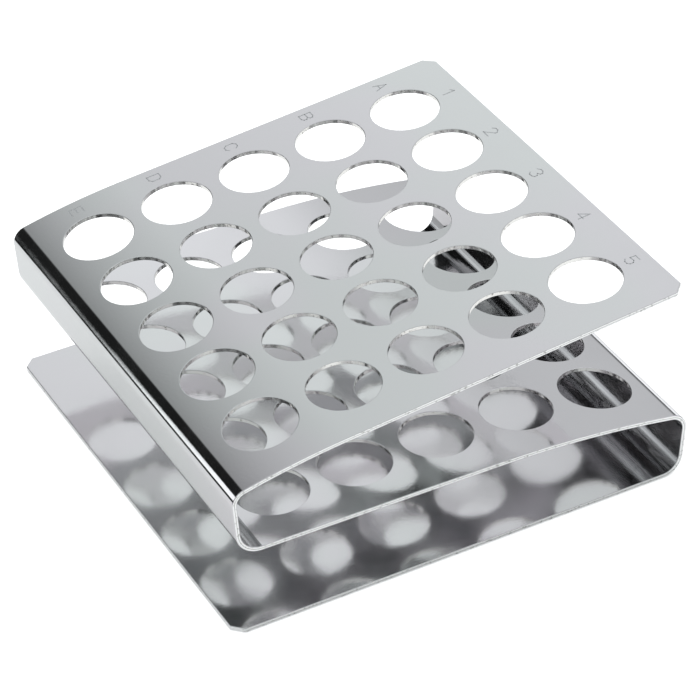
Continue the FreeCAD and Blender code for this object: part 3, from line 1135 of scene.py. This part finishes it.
@dataclass(frozen=True)
class CutEdge:
    """Sheared or drilled metal: a little duller than the polish, with darker torn specks.

    A sheared edge also has a dark seam along it, where the sheared zone meets the torn zone.

    Attributes:
        name: the material's name.
        tint: colour of the clean metal.
        torn_tint: colour of the torn specks.
        clear: roughness of the clean metal.
        torn: roughness of the specks.
        specks: how much of the edge the specks take, from 0 to 1.
        seam: depths between which the seam lies, in mm from the first face of the sheet, or an
            empty tuple for none.
        fade: width of the seam's soft borders, in mm.
        side: half the width of the sheet, in mm.
        specking: values of the speck mask that takes none and all, and half its soft border.
        relief: depth of the specks, in metres, and the strength of their bump.
    """

    name: str = "sheared_edge"
    tint: tuple[float, float, float] = (0.92, 0.92, 0.92)
    torn_tint: tuple[float, float, float] = (0.42, 0.42, 0.41)
    clear: float = 0.15
    torn: float = 0.3
    specks: float = 0.2
    seam: tuple[float, ...] = (0.36, 0.56)
    fade: float = 0.05
    side: float = 61.0
    specking: tuple[float, float, float] = (0.68, 0.32, 0.06)
    relief: tuple[float, float] = (0.00003, 0.15)

    def make(self, polish: bpy.types.NodeTree) -> bpy.types.Material:
        """Builds the material round the shared polish group.

        Args:
            polish: the group from polish_group().

        Returns:
            The material.
        """
        material, n, shader = new_material(self.name)
        worn = n.add("ShaderNodeGroup", {"Grain Scale": 2600.0, "Haze Scale": 1500.0,
                                         "Stretch": 1.0}, node_tree=polish)
        none, full, soft = self.specking
        edge = none + (full - none) * self.specks
        torn = n.ramp(worn.outputs["Haze"], edge - soft, edge + soft, 0.0, 1.0)
        if self.seam:
            blank = n.add("ShaderNodeUVMap", uv_map="blank").outputs[0]
            across = n.maths("ABSOLUTE", n.add("ShaderNodeSeparateXYZ", {"0": blank}).outputs[1])
            low, high = ((self.side + depth) * MM for depth in self.seam)
            fade = self.fade * MM
            band = n.maths("MULTIPLY", n.ramp(across, low, low + fade, 0.0, 1.0),
                           n.ramp(across, high, high - fade, 0.0, 1.0))
            torn = n.maths("MAXIMUM", torn, band)
        n.feed(shader, {
            "Metallic": 1.0,
            "Base Color": n.blend(torn, self.tint, self.torn_tint),
            "Roughness": n.ramp(torn, 0.0, 1.0, self.clear, self.torn),
            "Normal": n.bump(worn.outputs["Haze"], *self.relief)})
        return material


# Insides of the tight bends: the polish at about half its tint, painted shade in the creases, with
# the brake's lines as bump.
SHADED_BEND_STEEL = Steel("shaded_bend_stainless", (0.33, 0.335, 0.34), (0.33, 0.33, 0.34), lines=5.0)
DRILLED_WALL = CutEdge("drilled_wall", (0.9, 0.885, 0.86), (0.42, 0.4, 0.38), clear=0.12,
                       torn=0.35, seam=())


@dataclass(frozen=True)
class EngravedTrack:
    """The matt grey of the index marks.

    Attributes:
        name: the material's name.
        tint: its darkest colour.
        spread: how many times brighter its brightest colour is.
        roughness: its roughness.
    """

    name: str = "engraved_track"
    tint: tuple[float, float, float] = (0.4, 0.405, 0.415)
    spread: float = 1.5
    roughness: float = 0.5

    def make(self) -> bpy.types.Material:
        """Builds the material; its tone varies a little along each stroke."""
        material, n, shader = new_material(self.name)
        place = n.add("ShaderNodeTexCoord").outputs["Object"]
        noise = n.add("ShaderNodeTexNoise", {"Vector": place, "Scale": 1400.0}).outputs[0]
        light = tuple(v * self.spread for v in self.tint)
        n.feed(shader, {"Metallic": 0.8, "Roughness": self.roughness,
                        "Base Color": n.blend(noise, self.tint, light)})
        return material


def new_material(name: str) -> tuple[bpy.types.Material, Nodes, bpy.types.Node]:
    """An empty node material with a Principled BSDF.

    Args:
        name: the material's name.

    Returns:
        The material, a helper for its nodes, and the shader.
    """
    material = bpy.data.materials.new(name)
    material.use_nodes = True
    material.node_tree.nodes.clear()
    n = Nodes(material.node_tree)
    shader = n.add("ShaderNodeBsdfPrincipled")
    n.add("ShaderNodeOutputMaterial", {"Surface": shader.outputs[0]})
    return material, n, shader


# ---------------------------------------------------------------- the studio
@dataclass(frozen=True)
class Fade:
    """One border of a bright patch of the surroundings.

    Attributes:
        along: the part of the direction that it follows, "x", "y", "z" or "beside", which grows
            from the back right towards the front left.
        low: where it begins.
        high: where it ends.
        start: brightness before it begins.
        end: brightness after it ends.
        smooth: eased at both ends.
    """

    along: str
    low: float
    high: float
    start: float = 0.0
    end: float = 1.0
    smooth: bool = True


@dataclass(frozen=True)
class Studio:
    """Floor, surroundings, lamp and camera.

    The surroundings are a bright room, dark only low at the back, where a white card stands. The
    polish reflects them as pale shelves with dark bands along the bends. The brightness of each
    patch is the product of its fades, and where patches overlap the brightest one counts.

    Attributes:
        azimuth: the camera's azimuth, in degrees.
        elevation: its elevation.
        roll: its roll.
        position: its place, in mm.
        lens: focal length, in mm on a 36 mm sensor.
        floor_tone: the floor's colour.
        table_glow: how much the lit white table that the polish reflects shines by itself.
        floor_glow: the same for the floor that the camera sees.
        hue: colour of the light.
        ceiling: the patch overhead, weaker at its left and right borders and high up.
        behind: a patch just above and below the horizon, behind and to the right.
        card: narrow white cards, low at the back left and at the front right.
        around: the patch everywhere but at the back, weaker low down.
        wall: brightness of all the rest.
    """

    azimuth: float = -27.599
    elevation: float = 36.337
    roll: float = -1.508
    position: tuple[float, float, float] = (-298.05, -573.68, 496.27)
    lens: float = 165.97
    floor_tone: tuple[float, float, float] = (0.9, 0.9, 0.9)
    table_glow: float = 0.05
    floor_glow: float = 0.5
    hue: tuple[float, float, float] = (0.965, 1.0, 1.01)
    ceiling: tuple[Fade, ...] = (
        Fade("x", -0.15, 0.13, end=1.13), Fade("z", 0.12, 0.42),
        Fade("x", 0.1, 0.34, start=0.68, smooth=False), Fade("x", 0.34, 0.5, 1.0, 0.66),
        Fade("z", 0.53, 0.64, 1.0, 0.86, smooth=False))
    behind: tuple[Fade, ...] = (
        Fade("x", 0.24, 0.36, end=1.3), Fade("y", 0.4, 0.55), Fade("z", -0.6, -0.5),
        Fade("z", 0.14, 0.08))
    card: tuple[Fade, ...] = (
        Fade("beside", -0.015, 0.015), Fade("beside", 0.25, 0.15, end=1.6),
        Fade("z", -0.1, -0.06), Fade("z", 0.3, 0.26))
    around: tuple[Fade, ...] = (Fade("y", 0.66, 0.5, end=0.85), Fade("z", -0.05, 0.45, start=0.3))
    wall: float = 0.015

    def camera(self) -> None:
        """Places the camera: it looks back along its azimuth and elevation, then rolls."""
        a, e, r = (math.radians(v) for v in (self.azimuth, self.elevation, self.roll))
        back = Vector((math.sin(a) * math.cos(e), -math.cos(a) * math.cos(e), math.sin(e)))
        right = Vector((math.cos(a), math.sin(a), 0.0))
        up = back.cross(right)
        right, up = (right * math.cos(r) + up * math.sin(r),
                     up * math.cos(r) - right * math.sin(r))
        data = bpy.data.cameras.new("camera")
        data.lens, data.sensor_width = self.lens, 36.0
        data.clip_start, data.clip_end = 0.01, 20.0
        camera = bpy.data.objects.new("camera", data)
        turn = Matrix((right, up, back)).transposed().to_4x4()
        camera.matrix_world = Matrix.Translation(Vector(self.position) * MM) @ turn
        bpy.context.scene.collection.objects.link(camera)
        bpy.context.scene.camera = camera

    def floor(self, name: str, size: float, drop: float, mirrored: bool) -> None:
        """Lays a plain pale floor under the rack.

        Args:
            name: the floor's name.
            size: half its side, in metres.
            drop: how far below the rack it lies, in metres.
            mirrored: whether only the polish sees it, rather than only the camera.
        """
        mesh = bpy.data.meshes.new(name)
        corners = [(-size, -size, 0), (size, -size, 0), (size, size, 0), (-size, size, 0)]
        mesh.from_pydata(corners, [], [(0, 1, 2, 3)])
        floor = bpy.data.objects.new(name, mesh)
        material, n, shader = new_material(f"pale_{name}")
        n.feed(shader, {"Base Color": (*self.floor_tone, 1.0), "Roughness": 0.9,
                        "Specular IOR Level": 0.0, "Emission Color": (1.0, 1.0, 1.0, 1.0),
                        "Emission Strength": self.table_glow if mirrored else self.floor_glow})
        mesh.materials.append(material)
        bpy.context.scene.collection.objects.link(floor)
        floor.location.z = -drop
        floor.visible_glossy = mirrored
        floor.visible_camera = floor.visible_shadow = floor.visible_diffuse = not mirrored

    def surroundings(self) -> None:
        """Makes the world: at each direction, the brightest of the patches and the walls."""
        world = bpy.data.worlds.new("studio")
        bpy.context.scene.world = world
        world.use_nodes = True
        world.node_tree.nodes.clear()
        n = Nodes(world.node_tree)
        way = n.add("ShaderNodeTexCoord").outputs["Generated"]
        x, y, z = n.add("ShaderNodeSeparateXYZ", {"0": way}).outputs
        beside = n.maths("MULTIPLY_ADD", y, -0.9, n.maths("MULTIPLY", x, -1.0))
        ways = {"x": x, "y": y, "z": z, "beside": beside}
        patches = [
            n.fold("MULTIPLY", *(n.ramp(ways[f.along], f.low, f.high, f.start, f.end, f.smooth)
                                 for f in patch))
            for patch in (self.ceiling, self.behind, self.card, self.around)]
        strength = n.fold("MAXIMUM", *patches, self.wall)
        glow = n.add("ShaderNodeBackground", {"Strength": strength, "Color": (*self.hue, 1.0)})
        n.add("ShaderNodeOutputWorld", {"Surface": glow.outputs[0]})

    def lamp(self, name: str, place: tuple[float, float, float], size: float, power: float) -> None:
        """Hangs a soft square lamp aimed at the rack.

        Args:
            name: the lamp's name.
            place: its place, in metres.
            size: its side, in metres.
            power: its power, in watts.
        """
        data = bpy.data.lights.new(name, "AREA")
        data.size, data.energy = size, power
        lamp = bpy.data.objects.new(name, data)
        lamp.location = place
        lamp.rotation_euler = Vector(place).to_track_quat("Z", "Y").to_euler()
        lamp.visible_camera = lamp.visible_glossy = False
        bpy.context.scene.collection.objects.link(lamp)

    def build(self) -> None:
        """Builds the whole studio, shown with plain colours that leave white as white."""
        bpy.context.scene.view_settings.view_transform = "Standard"
        self.camera()
        self.floor("table", 0.16, 0.00002, mirrored=True)
        self.floor("floor", 3.0, 0.00004, mirrored=False)
        self.surroundings()
        self.lamp("overhead", (0.2, 0.5, 1.4), 1.0, 9.0)
        log.info("studio ready")


# ---------------------------------------------------------------- the rack
@dataclass
class Rack:
    """The folded rack: nine skins of one sheet, and its index marks.

    Attributes:
        edge: how the sheet's edges are broken.
        marks: the index characters.
        steel: the polished finish.
        bent: the finish of the insides of the tight bends: the brake's lines as bump, and painted
            shade, a tint about half the polish's.
        cut: the finish of sheared edges.
        drilled: the finish of the walls of the tube holes.
        track: the finish of the index marks.
    """

    edge: EdgeWork = field(default_factory=EdgeWork)
    marks: IndexMarks = field(default_factory=IndexMarks)
    steel: Steel = field(default_factory=Steel)
    bent: Steel = SHADED_BEND_STEEL
    cut: CutEdge = field(default_factory=CutEdge)
    drilled: CutEdge = DRILLED_WALL
    track: EngravedTrack = field(default_factory=EngravedTrack)

    def build(self) -> list[bpy.types.Object]:
        """Builds and dresses every piece.

        Returns:
            The pieces, in order along the sheet.
        """
        low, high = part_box("base_plate")
        gauge, depth = high.z - low.z, high.y - low.y
        holes = TubeHoles.from_record(frame["record"])
        polish = polish_group()
        steel = self.steel.make(polish)
        rest = [self.cut.make(polish), self.drilled.make(polish), self.bent.make(polish)]
        pieces = []
        for node, run in lay_path(gauge).items():
            drilled = holes if node.endswith("_shelf") else None
            skin = SheetSkin(run, gauge, depth, self.edge, drilled)
            piece = skin.build()
            for material in [steel] + rest:
                piece.data.materials.append(material)
            pieces.append(piece)
        marks = self.marks.build(skin)
        marks.data.materials.append(self.track.make())
        return pieces + [marks]


def main() -> None:
    """Builds the studio and the rack."""
    logging.basicConfig(level=logging.INFO, format="%(name)s: %(message)s")
    Studio().build()
    pieces = Rack().build()
    log.info("%d pieces", len(pieces))
    bpy.context.view_layer.update()


if __name__ == "__main__":
    main()
